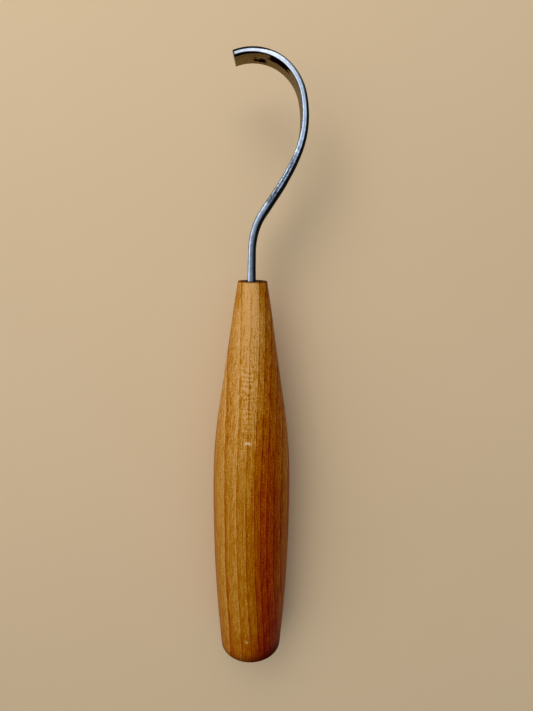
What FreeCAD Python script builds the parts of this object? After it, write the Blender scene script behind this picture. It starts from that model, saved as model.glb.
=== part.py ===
import FreeCAD, Part
import math
import os

# Hook knife for hollowing spoons and bowls: a bent steel blade on a hidden tang,
# glued into the slot of a turned hardwood handle.
#
# Frame (millimetres): the handle's axis is +Y and points at the blade, +Z is the side
# of the blade's spine, and the hook curls towards -X. The origin is the centre of the
# flat at the handle's butt end.

Vec = FreeCAD.Vector

# --- handle ---------------------------------------------------------------------------
HANDLE_LENGTH = 155.0
BUTT_FLAT_RADIUS = 6.0
BUTT_ROUND_DEPTH = 2.9
FRONT_FACE_RADIUS = 5.05
FRONT_ROUND_DEPTH = 0.4
# The turned side: distance from the butt, and radius there.
HANDLE_SIDE = (
    (BUTT_ROUND_DEPTH, 12.35),
    (20.0, 13.7),
    (42.0, 14.8),
    (66.0, 15.2),
    (95.0, 14.15),
    (115.0, 11.4),
    (130.0, 9.15),
    (145.0, 7.0),
    (HANDLE_LENGTH - FRONT_ROUND_DEPTH, 5.45),
)

# --- slot for the tang ----------------------------------------------------------------
SLOT_WIDTH = 4.8
SLOT_HEIGHT = 9.4
SLOT_CORNER = 2.0
SLOT_DEPTH = 62.0
ADHESIVE_RECESS = 0.8

# --- blade centreline, in the XY plane, from the handle's front face to the tip --------
NECK_LENGTH = 10.8
LOWER_BEND_RADIUS = 24.9
LOWER_BEND_ANGLE = 31.9
SHANK_LENGTH = 17.3
HOOK_ARCS = (
    # Radius and angle: wide where the hook leaves the shank, tightest at its shoulder.
    (32.4, 44.4),
    (17.05, 58.6),
    (18.6, 39.6),
)

# --- blade section --------------------------------------------------------------------
NECK_THICKNESS = 3.2
TIP_THICKNESS = 1.85
THINNING_START = 8.0
NECK_WIDTH = 8.1
HOOK_WIDTH = 12.0
WIDENING_END = 57.0
SPINE_OUTER_CORNER = 1.0
SPINE_INNER_CORNER = 0.35

# The cutting edge is at -Z: one bevel on the outer face, running out into the shank.
BEVEL_HEIGHT = 5.2
BEVEL_START = 42.0
BEVEL_FULL = 56.0
EDGE_LAND = 0.15
SHANK_CHAMFER = 0.5

# --- tang inside the handle -----------------------------------------------------------
TANG_LENGTH = 58.0
TANG_END_WIDTH = 5.0
TANG_END_THICKNESS = 2.2

SECTION_SPACING = 3.0


def handle_side_curve():
    """The handle's turned side, as a smooth curve in the half plane x = radius."""
    curve = Part.BSplineCurve()
    curve.interpolate([Vec(radius, along, 0) for along, radius in HANDLE_SIDE])
    return curve


def rounded_corner(start, corner, end):
    """An elliptical arc from start to end, tangent to the lines that meet at corner."""
    arc = Part.BezierCurve()
    arc.setPoles([start, corner, end])
    arc.setWeight(2, math.sqrt(0.5))
    return arc


def tangent_meets(point, tangent, along):
    """Where the line through point along tangent reaches the plane y = along."""
    steps = (along - point.y) / tangent.y
    return point + tangent * steps


def handle_body():
    """The solid of revolution: flat butt, rounded rim, belly, taper, flat front face."""
    side = handle_side_curve()
    low = side.value(side.FirstParameter)
    high = side.value(side.LastParameter)
    butt_corner = tangent_meets(low, side.tangent(side.FirstParameter)[0], 0.0)
    front_corner = tangent_meets(high, side.tangent(side.LastParameter)[0], HANDLE_LENGTH)
    butt_rim = Vec(BUTT_FLAT_RADIUS, 0, 0)
    front_rim = Vec(FRONT_FACE_RADIUS, HANDLE_LENGTH, 0)
    butt_centre = Vec(0, 0, 0)
    front_centre = Vec(0, HANDLE_LENGTH, 0)
    edges = [
        Part.makeLine(butt_centre, butt_rim),
        rounded_corner(butt_rim, butt_corner, low).toShape(),
        side.toShape(),
        rounded_corner(high, front_corner, front_rim).toShape(),
        Part.makeLine(front_rim, front_centre),
        Part.makeLine(front_centre, butt_centre),
    ]
    profile = Part.Face(Part.Wire(edges))
    return profile.revolve(Vec(0, 0, 0), Vec(0, 1, 0), 360)


def slot_prism(near_depth, far_depth):
    """The slot's rounded rectangle, from one depth below the front face to another."""
    length = far_depth - near_depth
    corner = Vec(-SLOT_WIDTH / 2, HANDLE_LENGTH - far_depth, -SLOT_HEIGHT / 2)
    block = Part.makeBox(SLOT_WIDTH, length, SLOT_HEIGHT, corner)
    long_edges = []
    for edge in block.Edges:
        direction = edge.tangentAt(edge.FirstParameter)
        if abs(direction.y) > 0.99:
            long_edges.append(edge)
    return block.makeFillet(SLOT_CORNER, long_edges)


def handle():
    """The handle with its tang slot cut from the front face."""
    return handle_body().cut(slot_prism(-1.0, SLOT_DEPTH))


def centreline_pieces():
    """(length, turn in radians) of each straight or arc ahead of the front face."""
    bend = math.radians(LOWER_BEND_ANGLE)
    pieces = [
        (NECK_LENGTH, 0.0),
        (LOWER_BEND_RADIUS * bend, -bend),
        (SHANK_LENGTH, 0.0),
    ]
    for radius, angle in HOOK_ARCS:
        turn = math.radians(angle)
        pieces.append((radius * turn, turn))
    return pieces


def blade_length():
    """Length along the centreline, from the front face to the tip."""
    return sum(length for length, turn in centreline_pieces())


def centreline(along):
    """The point, and the unit vector to the outer side, at a distance from the face."""
    point = Vec(0, HANDLE_LENGTH, 0)
    heading = math.pi / 2
    if along <= 0:
        return point + Vec(0, along, 0), Vec(1, 0, 0)
    left = along
    for length, turn in centreline_pieces():
        step = min(left, length)
        turned = turn * step / length
        chord = step
        if abs(turned) > 1e-9:
            chord = step * math.sin(turned / 2) / (turned / 2)
        middle = heading + turned / 2
        point = point + Vec(math.cos(middle), math.sin(middle), 0) * chord
        heading = heading + turned
        left = left - step
        if left <= 0:
            break
    return point, Vec(math.sin(heading), -math.cos(heading), 0)


def ramp(value, start, end):
    """0 before start, 1 after end, straight between them."""
    return min(1.0, max(0.0, (value - start) / (end - start)))


def smooth_ramp(value, start, end):
    """0 before start, 1 after end, with no corner at either end."""
    part = ramp(value, start, end)
    return part * part * (3 - 2 * part)


def mix(first, second, part):
    """The value that lies a part of the way from first to second."""
    return first + (second - first) * part


def blade_thickness(along):
    """Thickest at the neck, drawn down evenly to the tip and to the tang's end."""
    if along < 0:
        return mix(NECK_THICKNESS, TANG_END_THICKNESS, ramp(-along, 0, TANG_LENGTH))
    thinned = ramp(along, THINNING_START, blade_length())
    return mix(NECK_THICKNESS, TIP_THICKNESS, thinned)


def blade_width(along):
    """Narrow neck, widening along the shank into the hook, and a tapered tang."""
    if along < 0:
        return mix(NECK_WIDTH, TANG_END_WIDTH, ramp(-along, 0, TANG_LENGTH))
    return mix(NECK_WIDTH, HOOK_WIDTH, ramp(along, 0, WIDENING_END))


def blade_section(along):
    """The blade's closed outline across the centreline at one place."""
    point, outward = centreline(along)
    half_t = blade_thickness(along) / 2
    half_w = blade_width(along) / 2
    ground = smooth_ramp(along, BEVEL_START, BEVEL_FULL)
    bevel_height = mix(SHANK_CHAMFER, BEVEL_HEIGHT, ground)
    bevel_across = mix(SHANK_CHAMFER, 2 * half_t - EDGE_LAND, ground)
    slant = math.sqrt(0.5)

    def place(across, height):
        return point + outward * across + Vec(0, 0, height)

    def corner_arc(centre_across, centre_height, radius, side):
        start = place(centre_across + side * radius, centre_height)
        middle = place(centre_across + side * radius * slant, centre_height + radius * slant)
        end = place(centre_across, centre_height + radius)
        return start, middle, end

    inner = corner_arc(-half_t + SPINE_INNER_CORNER, half_w - SPINE_INNER_CORNER,
                       SPINE_INNER_CORNER, -1)
    outer = corner_arc(half_t - SPINE_OUTER_CORNER, half_w - SPINE_OUTER_CORNER,
                       SPINE_OUTER_CORNER, 1)
    bevel_top = place(half_t, -half_w + bevel_height)
    bevel_foot = place(half_t - bevel_across, -half_w)
    edge = place(-half_t, -half_w)
    return Part.Wire([
        Part.makeLine(edge, inner[0]),
        Part.Arc(*inner).toShape(),
        Part.makeLine(inner[2], outer[2]),
        Part.Arc(outer[2], outer[1], outer[0]).toShape(),
        Part.makeLine(outer[0], bevel_top),
        Part.makeLine(bevel_top, bevel_foot),
        Part.makeLine(bevel_foot, edge),
    ])


def blade():
    """Hook, shank and tang in one forging: a loft through evenly spaced sections."""
    ahead = blade_length()
    ahead_count = round(ahead / SECTION_SPACING)
    tang_count = round(TANG_LENGTH / SECTION_SPACING)
    places = [-TANG_LENGTH * (1 - i / tang_count) for i in range(tang_count)]
    places += [ahead * i / ahead_count for i in range(ahead_count + 1)]
    return Part.makeLoft([blade_section(along) for along in places], True, False)


def tang_adhesive(blade_solid):
    """Cured adhesive that fills the slot around the tang, a little below the face."""
    return slot_prism(ADHESIVE_RECESS, SLOT_DEPTH).cut(blade_solid)


def main():
    os.makedirs("parts", exist_ok=True)
    blade_solid = blade()
    nodes = {
        "blade": blade_solid,
        "handle": handle(),
        "tang_adhesive": tang_adhesive(blade_solid),
    }
    for name, shape in nodes.items():
        shape.exportStep(os.path.join("parts", name + ".step"))


main()
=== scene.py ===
import math

import bmesh
import bpy
from mathutils import Euler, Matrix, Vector, noise


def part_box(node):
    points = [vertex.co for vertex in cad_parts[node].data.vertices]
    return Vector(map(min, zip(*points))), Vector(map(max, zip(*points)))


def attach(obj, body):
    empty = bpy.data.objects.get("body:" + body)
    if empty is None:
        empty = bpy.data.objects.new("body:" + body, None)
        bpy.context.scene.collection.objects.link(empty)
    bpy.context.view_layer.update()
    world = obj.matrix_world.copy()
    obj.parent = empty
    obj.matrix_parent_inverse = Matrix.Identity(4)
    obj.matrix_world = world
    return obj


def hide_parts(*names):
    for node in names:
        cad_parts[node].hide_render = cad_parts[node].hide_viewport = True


# A hook knife, spine up, over a pale floor. Lengths are millimetres, but metres in LIGHTS
# and FLOOR_SIZE. The frame is the CAD model's: +Y to the blade, +Z out of the spine.
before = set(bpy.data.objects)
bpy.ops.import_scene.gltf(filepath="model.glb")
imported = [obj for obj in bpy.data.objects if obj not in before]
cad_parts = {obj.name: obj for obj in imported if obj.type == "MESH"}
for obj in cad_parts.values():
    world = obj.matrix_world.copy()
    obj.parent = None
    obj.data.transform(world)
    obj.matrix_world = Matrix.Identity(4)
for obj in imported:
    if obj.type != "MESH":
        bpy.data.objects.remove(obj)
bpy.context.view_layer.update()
MM = 0.001

# --- places read from the frame ---
handle_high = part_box("handle")[1] / MM
blade_low, blade_high = (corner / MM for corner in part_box("blade"))
glue_low, glue_high = (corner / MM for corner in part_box("tang_adhesive"))
HANDLE_LENGTH = handle_high.y
TANG_LENGTH = HANDLE_LENGTH - blade_low.y
SLOT_DEPTH = HANDLE_LENGTH - glue_low.y
SLOT_WIDTH = glue_high.x - glue_low.x
SLOT_HEIGHT = glue_high.z - glue_low.z
HOOK_WIDTH = blade_high.z - blade_low.z

# --- handle ---
BUTT_FLAT_RADIUS = 6
BUTT_ROUND_DEPTH = 2.9
FRONT_FACE_RADIUS = 5.05
FRONT_ROUND_DEPTH = 0.4
HANDLE_SIDE = (
    # distance from the butt, radius
    (BUTT_ROUND_DEPTH, 12.35),
    (20, 13.7),
    (42, 14.8),
    (66, 15.2),
    (95, 14.15),
    (115, 11.4),
    (130, 9.15),
    (145, 7),
    (HANDLE_LENGTH - FRONT_ROUND_DEPTH, 5.45),
)
SLOT_CORNER = 2
SLOT_LIP = 0.18
HANDLE_AROUND = 192
SIDE_ROWS = 210
BUTT_FLAT_RINGS = (0.02, 0.25, 0.5, 0.75, 0.92)
BUTT_ROUND_STEPS = 18
FRONT_ROUND_STEPS = 6
FRONT_FACE_RINGS = (0.35, 0.7, 0.95, 1)
LIP_TURNS = (30, 60, 90)
SLOT_WALL_DEPTHS = (0.5, 0.9, 1.5, 4, 12, 30, 50)
HANDLE_CREASE = 50
TURNING_WAVE = 0.05
WAVE_FADE_RADIUS = (4.9, 7)
WAVE_FADE_BUTT = (0.5, 6)
TURNING_WAVES = (
    # noise steps round the handle, steps per mm along it, share of the wave's depth
    (1.3, 0.035, 0.75),
    (5, 0.16, 0.25),
)

# --- blade ---
NECK_LENGTH = 10.8
LOWER_BEND_RADIUS = 24.9
LOWER_BEND_ANGLE = 31.9
SHANK_LENGTH = 17.3
HOOK_ARCS = (
    # radius, angle
    (32.4, 44.4),
    (17.05, 58.6),
    (18.6, 39.6),
)
NECK_THICKNESS = 3.2
TIP_THICKNESS = 1.85
THINNING_START = 8
NECK_WIDTH = 8.1
WIDENING_END = 57
TANG_END_WIDTH = 5
TANG_END_THICKNESS = 2.2
BEVEL_HEIGHT = 5.2
BEVEL_START = 42
BEVEL_FULL = 56
EDGE_LAND = 0.12
SHANK_CHAMFER = 0.5
OUTER_CORNER_RADII = (1.45, 1.15, 0.8)
OUTER_CORNER_BLENDS = ((15, 50), (66, 88))
INNER_CORNER_RADII = (0.55, 0.3)
INNER_CORNER_BLEND = (35, 60)
# Edge radii of the section before and after the bevel is ground.
BEVEL_TOP_RADII = (0.3, 0.12)
BEVEL_FOOT_RADII = (0.3, 0.03)
EDGE_RADII = (0.35, 0.02)
ROW_SPACING = 0.3
TANG_ROW_SPACING = 6 * ROW_SPACING
TIP_ROUND = 0.22
TIP_ROUND_ROWS = 4
BLADE_CREASE = 32
SKIN_INSET = 0.012
ROOT_FADE = (0.2, 3)
SPINE_CROWN = 0.11
TIP_CROWN_SHARE = 0.35
CROWN_FADE = (62, 84)
SPINE_FACING = (0.5, 1)
INNER_FACING = (0.5, 0.9)
# Hammer and grinding marks: their depth, and noise steps per mm along, up and across.
HAMMER_DEPTH = 0.07
HAMMER_FADE = (40, 62)
OUTER_HAMMERED = 0.7
BROAD_DENTS = (0.22, 0.22, 0.3)
SMALL_DENTS = (0.9, 0.8, 0.9)
BROAD_SHARE = 0.65
GRIND_DEPTH = 0.02
GRIND_MARKS = (0.35, 0.3)
DENT_SHIFT, GRIND_SHIFT = 7, 20
FORGE_SHIFT = (
    # distance along, how far the hammer pushed it to the outer side
    (0, -0.3), (5, -0.28), (10, -0.21), (15, -0.17), (20, -0.2), (26, -0.05), (32, 0.16),
    (38, 0.24), (43, 0), (48, -0.07), (54, 0), (60, 0), (98, 0),
)
FORGE_THINNING = (
    # distance along, how much thinner than drawn it came out
    (0, 0.2), (5, 0.32), (10, 0.4), (15, 0.22), (20, 0.08), (26, -0.08), (38, -0.1),
    (48, -0.08), (56, 0), (98, 0),
)
FORGE_FADE = 25

# --- adhesive ---
GLUE_GAP = 0.012
GLUE_WALL_DEPTHS = (40, 20, 6, 2)
GLUE_TOP_RINGS = (0, 0.08, 0.2, 0.35, 0.5, 0.65, 0.8, 0.92, 1)
GLUE_TANG_DEPTHS = (2, 20, 40)
GLUE_SAG = 0.32
GLUE_RIPPLE = 0.07
GLUE_RIPPLE_STEPS = 0.9
GLUE_UNDER_TANG = 0.02
TANG_CORNER = 0.55


# ===== plain helpers =====

def ramp(value, start, end):
    """0 before start, 1 after end, straight between them."""
    return min(1.0, max(0.0, (value - start) / (end - start)))


def smooth(value, start, end):
    """0 before start, 1 after end, with no corner at either end."""
    part = ramp(value, start, end)
    return part * part * (3 - 2 * part)


def mix(first, second, part):
    """The value a part of the way from first to second."""
    return first + (second - first) * part


def lumps(x, y, z):
    """Smooth noise between 0 and 1."""
    return noise.noise(Vector((x, y, z))) * 0.5 + 0.5


def natural_spline(stations):
    """A smooth function through (place, value) stations, straight at both ends."""
    xs, ys = zip(*stations)
    count = len(xs)
    gaps = [xs[i + 1] - xs[i] for i in range(count - 1)]
    bend = [0.0] * count
    pivot = [1.0] * count
    carried = [0.0] * count
    for i in range(1, count - 1):
        rise = (ys[i + 1] - ys[i]) / gaps[i] - (ys[i] - ys[i - 1]) / gaps[i - 1]
        pivot[i] = 2 * (gaps[i - 1] + gaps[i]) - gaps[i - 1] ** 2 / pivot[i - 1] * (i > 1)
        carried[i] = 6 * rise - gaps[i - 1] * carried[i - 1] / pivot[i - 1] * (i > 1)
    for i in range(count - 2, 0, -1):
        bend[i] = (carried[i] - gaps[i] * bend[i + 1]) / pivot[i]

    def value(x):
        i = 0
        while i < count - 2 and x > xs[i + 1]:
            i += 1
        gap = gaps[i]
        a = (xs[i + 1] - x) / gap
        b = (x - xs[i]) / gap
        curve = (a ** 3 - a) * bend[i] + (b ** 3 - b) * bend[i + 1]
        return a * ys[i] + b * ys[i + 1] + curve * gap * gap / 6

    return value


def arc_shares(weight, count):
    """Shares of start, corner and end in count + 1 points along an arc."""
    for i in range(count + 1):
        t = i / count
        yield (1 - t) ** 2, 2 * t * (1 - t) * weight, t * t


def round_over(start, corner, end, count):
    """Points of an elliptical arc tangent to the lines that meet at corner."""
    points = []
    for a, b, c in arc_shares(math.sqrt(0.5), count):
        whole = a + b + c
        points.append(tuple((a * s + b * k + c * e) / whole for s, k, e in zip(start, corner, end)))
    return points


def build_mesh(name, rings):
    """A closed skin over rings of points (mm), each ring with the same point count."""
    count = len(rings[0])
    points = [Vector(p) * MM for ring in rings for p in ring]
    faces = []
    for row in range(len(rings) - 1):
        for i in range(count):
            j = (i + 1) % count
            low, high = row * count, (row + 1) * count
            faces.append((low + i, low + j, high + j, high + i))
    faces.append(tuple(reversed(range(count))))
    last = (len(rings) - 1) * count
    faces.append(tuple(range(last, last + count)))
    mesh = bpy.data.meshes.new(name)
    mesh.from_pydata(points, [], faces)
    mesh.validate()
    work = bmesh.new()
    work.from_mesh(mesh)
    bmesh.ops.recalc_face_normals(work, faces=work.faces)
    work.to_mesh(mesh)
    work.free()
    mesh.shade_smooth()
    return show(name, mesh)


def show(name, data):
    """A new object in the scene."""
    made = bpy.data.objects.new(name, data)
    bpy.context.scene.collection.objects.link(made)
    return made


def add_attribute(piece, name, kind, values):
    """Stores one value per vertex for the material to read."""
    layer = piece.data.attributes.new(name, kind, "POINT")
    key = "vector" if kind == "FLOAT_VECTOR" else "value"
    layer.data.foreach_set(key, values)


def mark_sharp(piece, angle):
    """Keeps edges sharper than angle (degrees) crisp under smooth shading."""
    piece.data.set_sharp_from_angle(angle=math.radians(angle))


# ===== rounded outlines =====

def rounded_rectangle(width, height, corner, count):
    """count points round a rounded rectangle, from the middle of its +X side."""
    half_w, half_h = width / 2, height / 2
    straight_w, straight_h = half_w - corner, half_h - corner
    arc = corner * math.pi / 2
    quarter = straight_h + arc + straight_w
    points = []
    for i in range(count):
        along = 4 * quarter * i / count
        side, rest = divmod(along + 1e-9, quarter)
        odd = int(side) % 2
        if odd:
            rest = quarter - rest
        if rest < straight_h:
            x, z = half_w, rest
        elif rest < straight_h + arc:
            angle = (rest - straight_h) / corner
            x = straight_w + corner * math.cos(angle)
            z = straight_h + corner * math.sin(angle)
        else:
            x, z = quarter - rest, half_h
        sign_x = 1 if side in (0, 3) else -1
        sign_z = 1 if side in (0, 1) else -1
        points.append((sign_x * x, sign_z * z))
    return points


def between(first, second, part):
    """The outline a part of the way from one outline to another."""
    return [(mix(a, c, part), mix(b, d, part)) for (a, b), (c, d) in zip(first, second)]


def ring_at(outline, depth):
    """A flat outline (x, z) as a ring of points, depth below the handle's front face."""
    return [(x, HANDLE_LENGTH - depth, z) for x, z in outline]


# ===== handle =====

def turned_profile():
    """(distance from the butt, radius) points, from the butt's flat to the front rim."""
    side = natural_spline(HANDLE_SIDE)
    low_y, high_y = HANDLE_SIDE[0][0], HANDLE_SIDE[-1][0]
    step = 0.01
    low_slope = (side(low_y + step) - side(low_y)) / step
    high_slope = (side(high_y) - side(high_y - step)) / step
    butt_corner = (0.0, side(low_y) - low_slope * low_y)
    front_corner = (HANDLE_LENGTH, side(high_y) + high_slope * (HANDLE_LENGTH - high_y))
    profile = [(0.0, BUTT_FLAT_RADIUS * part) for part in BUTT_FLAT_RINGS]
    profile += round_over((0.0, BUTT_FLAT_RADIUS), butt_corner, (low_y, side(low_y)),
                          BUTT_ROUND_STEPS)
    for i in range(1, SIDE_ROWS):
        y = mix(low_y, high_y, i / SIDE_ROWS)
        profile.append((y, side(y)))
    profile += round_over((high_y, side(high_y)), front_corner,
                          (HANDLE_LENGTH, FRONT_FACE_RADIUS), FRONT_ROUND_STEPS)
    return profile


def turning_wave(y, angle):
    """How far the sanded surface dips below the true turned shape."""
    dip = 0.0
    for steps, steps_along, share in TURNING_WAVES:
        dip += share * lumps(math.cos(angle) * steps, math.sin(angle) * steps, y * steps_along)
    return TURNING_WAVE * dip


def make_handle():
    """Turned handle: butt, side and front face, then the slot's walls and floor."""
    rings = []
    for y, radius in turned_profile():
        ring = []
        keep = smooth(radius, *WAVE_FADE_RADIUS) * smooth(y, *WAVE_FADE_BUTT)
        for i in range(HANDLE_AROUND):
            angle = 2 * math.pi * i / HANDLE_AROUND
            r = radius - turning_wave(y, angle) * keep
            ring.append((r * math.cos(angle), y, r * math.sin(angle)))
        rings.append(ring)
    mouth = rounded_rectangle(SLOT_WIDTH + 2 * SLOT_LIP, SLOT_HEIGHT + 2 * SLOT_LIP,
                              SLOT_CORNER + SLOT_LIP, HANDLE_AROUND)
    rim = [(x, z) for x, y, z in rings[-1]]
    rings += [ring_at(between(rim, mouth, part), 0) for part in FRONT_FACE_RINGS]
    wall = rounded_rectangle(SLOT_WIDTH, SLOT_HEIGHT, SLOT_CORNER, HANDLE_AROUND)
    for turn in LIP_TURNS:
        angle = math.radians(turn)
        lip = between(wall, mouth, 1 - math.sin(angle))
        rings.append(ring_at(lip, SLOT_LIP * (1 - math.cos(angle))))
    rings += [ring_at(wall, depth) for depth in (*SLOT_WALL_DEPTHS, SLOT_DEPTH)]
    piece = build_mesh("handle_turned", rings)
    mark_sharp(piece, HANDLE_CREASE)
    return piece


# ===== blade =====

def centreline_pieces():
    """(length, turn in radians) of each straight or arc ahead of the front face."""
    bend = math.radians(LOWER_BEND_ANGLE)
    pieces = [
        (NECK_LENGTH, 0.0),
        (LOWER_BEND_RADIUS * bend, -bend),
        (SHANK_LENGTH, 0.0),
    ]
    for radius, angle in HOOK_ARCS:
        turn = math.radians(angle)
        pieces.append((radius * turn, turn))
    return pieces


BLADE_LENGTH = sum(length for length, turn in centreline_pieces())
forge_shift = natural_spline(FORGE_SHIFT)
forge_thinning = natural_spline(FORGE_THINNING)


def forged(change, along):
    """A hand forged change at a place along the blade, fading out down the tang."""
    return change(max(0.0, along)) * (1 - ramp(-along, 0, FORGE_FADE))


def centreline(along):
    """The point, and the unit vector to the outer side, at a distance from the face."""
    shift = forged(forge_shift, along)
    point = Vector((0, HANDLE_LENGTH, 0))
    heading = math.pi / 2
    if along <= 0:
        return point + Vector((shift, along, 0)), Vector((1, 0, 0))
    left = along
    for length, turn in centreline_pieces():
        step = min(left, length)
        turned = turn * step / length
        chord = step
        if abs(turned) > 1e-9:
            chord = step * math.sin(turned / 2) / (turned / 2)
        middle = heading + turned / 2
        point = point + Vector((math.cos(middle), math.sin(middle), 0)) * chord
        heading += turned
        left -= step
        if left <= 0:
            break
    outward = Vector((math.sin(heading), -math.cos(heading), 0))
    return point + outward * shift, outward


def blade_sizes(along):
    """Half thickness, half width, bevel height, bevel width and corner radii."""
    if along < 0:
        back = ramp(-along, 0, TANG_LENGTH)
        thickness = mix(NECK_THICKNESS, TANG_END_THICKNESS, back)
        width = mix(NECK_WIDTH, TANG_END_WIDTH, back)
    else:
        thickness = mix(NECK_THICKNESS, TIP_THICKNESS, ramp(along, THINNING_START, BLADE_LENGTH))
        width = mix(NECK_WIDTH, HOOK_WIDTH, ramp(along, 0, WIDENING_END))
    thickness -= forged(forge_thinning, along)
    ground = smooth(along, BEVEL_START, BEVEL_FULL)
    bevel_height = mix(SHANK_CHAMFER, BEVEL_HEIGHT, ground)
    bevel_across = mix(SHANK_CHAMFER, thickness - EDGE_LAND, ground)
    outer_corner = OUTER_CORNER_RADII[0]
    for radius, blend in zip(OUTER_CORNER_RADII[1:], OUTER_CORNER_BLENDS):
        outer_corner = mix(outer_corner, radius, smooth(along, *blend))
    inner_corner = mix(*INNER_CORNER_RADII, smooth(along, *INNER_CORNER_BLEND))
    return thickness / 2, width / 2, bevel_height, bevel_across, outer_corner, inner_corner


def corner_points(corner, before, after, radius, count):
    """An arc of count + 1 points that rounds one corner of a flat outline."""
    into = (Vector(corner) - Vector(before)).normalized()
    away = (Vector(after) - Vector(corner)).normalized()
    turn = math.acos(max(-1.0, min(1.0, into.dot(away))))
    reach = radius * math.tan(turn / 2)
    start = Vector(corner) - into * reach
    end = Vector(corner) + away * reach
    return [(start * a + Vector(corner) * b + end * c) / (a + b + c)
            for a, b, c in arc_shares(math.cos(turn / 2), count)]


def blade_outline(along):
    """Section points (across, height) and, for each, which face it belongs to."""
    half_t, half_w, bevel_h, bevel_x, outer_r, inner_r = blade_sizes(along)
    ground = smooth(along, BEVEL_START, BEVEL_FULL)
    corners = (
        # across, height, radius, arc steps, steps along the side that follows, its face
        (half_t, half_w, outer_r, 8, 10, "outer"),
        (half_t, -half_w + bevel_h, mix(*BEVEL_TOP_RADII, ground), 3, 8, "bevel"),
        (half_t - bevel_x, -half_w, mix(*BEVEL_FOOT_RADII, ground), 2, 2, "land"),
        (-half_t, -half_w, mix(*EDGE_RADII, ground), 2, 14, "inner"),
        (-half_t, half_w, inner_r, 7, 8, "spine"),
    )
    outline, faces = [], []
    arcs = []
    for i, corner in enumerate(corners):
        before = corners[i - 1][:2]
        after = corners[(i + 1) % len(corners)][:2]
        arcs.append(corner_points(corner[:2], before, after, corner[2], corner[3]))
    for i, corner in enumerate(corners):
        side_before = corners[i - 1][5]
        side_after = corner[5]
        for k, point in enumerate(arcs[i]):
            outline.append(point)
            faces.append(side_before if k < len(arcs[i]) / 2 else side_after)
        next_start = arcs[(i + 1) % len(arcs)][0]
        for k in range(1, corner[4]):
            outline.append(arcs[i][-1].lerp(next_start, k / corner[4]))
            faces.append(side_after)
    return outline, faces


def surface_dip(along, across, height, face):
    """How deep the hammer and grinder left the surface below its true shape."""
    share = 1 - smooth(along, *HAMMER_FADE)
    if face == "outer":
        share = max(share, OUTER_HAMMERED)
    a, b, c = BROAD_DENTS
    broad = lumps(along * a, height * b, across * c)
    a, b, c = SMALL_DENTS
    small = lumps(along * a, height * b, across * c + DENT_SHIFT)
    hammered = HAMMER_DEPTH * (BROAD_SHARE * broad + (1 - BROAD_SHARE) * small)
    a, b = GRIND_MARKS
    ground = GRIND_DEPTH * lumps(along * a, height * b, GRIND_SHIFT)
    return mix(ground, hammered, share)


def blade_places():
    """(distance along the centreline, how far drawn in) for each of the blade's sections."""
    tang_rows = round(TANG_LENGTH / TANG_ROW_SPACING)
    ahead_rows = round((BLADE_LENGTH - TIP_ROUND) / ROW_SPACING)
    places = [-TANG_LENGTH * (1 - i / tang_rows) for i in range(tang_rows)]
    places += [(BLADE_LENGTH - TIP_ROUND) * i / ahead_rows for i in range(ahead_rows + 1)]
    return [(along, 0.0) for along in places] + [
        (BLADE_LENGTH - TIP_ROUND * (1 - math.sin(math.pi / 2 * k / TIP_ROUND_ROWS)),
         TIP_ROUND * (1 - math.cos(math.pi / 2 * k / TIP_ROUND_ROWS)))
        for k in range(1, TIP_ROUND_ROWS + 1)]


def blade_ring(along, inset):
    """Points of one section, drawn in by inset at the tip, and each point's marks."""
    point, outward = centreline(along)
    half_t, half_w = blade_sizes(along)[:2]
    outline, faces = blade_outline(along)
    count = len(outline)
    ring, marks = [], []
    for i, flat in enumerate(outline):
        before, after = outline[i - 1], outline[(i + 1) % count]
        tangent = (after - before).normalized()
        normal = Vector((-tangent.y, tangent.x))
        if normal.dot(flat) < 0:
            normal = -normal
        dip = surface_dip(along, flat.x, flat.y, faces[i])
        if faces[i] in ("bevel", "land"):
            dip *= 1 - smooth(along, BEVEL_START, BEVEL_FULL)
        crown = SPINE_CROWN * mix(1.0, TIP_CROWN_SHARE, smooth(along, *CROWN_FADE))
        crown *= (flat.x / half_t) ** 2 * smooth(normal.y, *SPINE_FACING)
        dip = SKIN_INSET + (dip + crown) * smooth(along, *ROOT_FADE)
        spot = flat - normal * dip
        across = spot.x * (1 - inset / half_t)
        height = spot.y * (1 - inset / half_w)
        ring.append(point + outward * across + Vector((0, 0, height)))
        bevel = faces[i] == "bevel"
        marks.append({
            "flow": (along, flat.x / half_t, half_w - flat.y),
            "inner": 0.0 if bevel else smooth(-normal.x, *INNER_FACING),
            "bevel": 1.0 if bevel else 0.0,
        })
    return ring, marks


def make_blade():
    """Hook, shank and tang, with the marks the material needs on each vertex."""
    rings, marks = [], []
    for along, inset in blade_places():
        ring, ring_marks = blade_ring(along, inset)
        rings.append(ring)
        marks += ring_marks
    piece = build_mesh("blade_forged", rings)
    flow = [value for mark in marks for value in mark["flow"]]
    add_attribute(piece, "flow", "FLOAT_VECTOR", flow)
    for key in ("inner", "bevel"):
        add_attribute(piece, key, "FLOAT", [mark[key] for mark in marks])
    mark_sharp(piece, BLADE_CREASE)
    return piece


# ===== adhesive =====

def tang_outline(along):
    """Points round the tang, a hair outside it, from the middle of its outer side."""
    half_t, half_w = blade_sizes(along)[:2]
    shift = forged(forge_shift, along)
    outline = rounded_rectangle(2 * (half_t + GLUE_GAP), 2 * (half_w + GLUE_GAP), TANG_CORNER,
                                HANDLE_AROUND)
    return [(x + shift, z) for x, z in outline]


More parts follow.
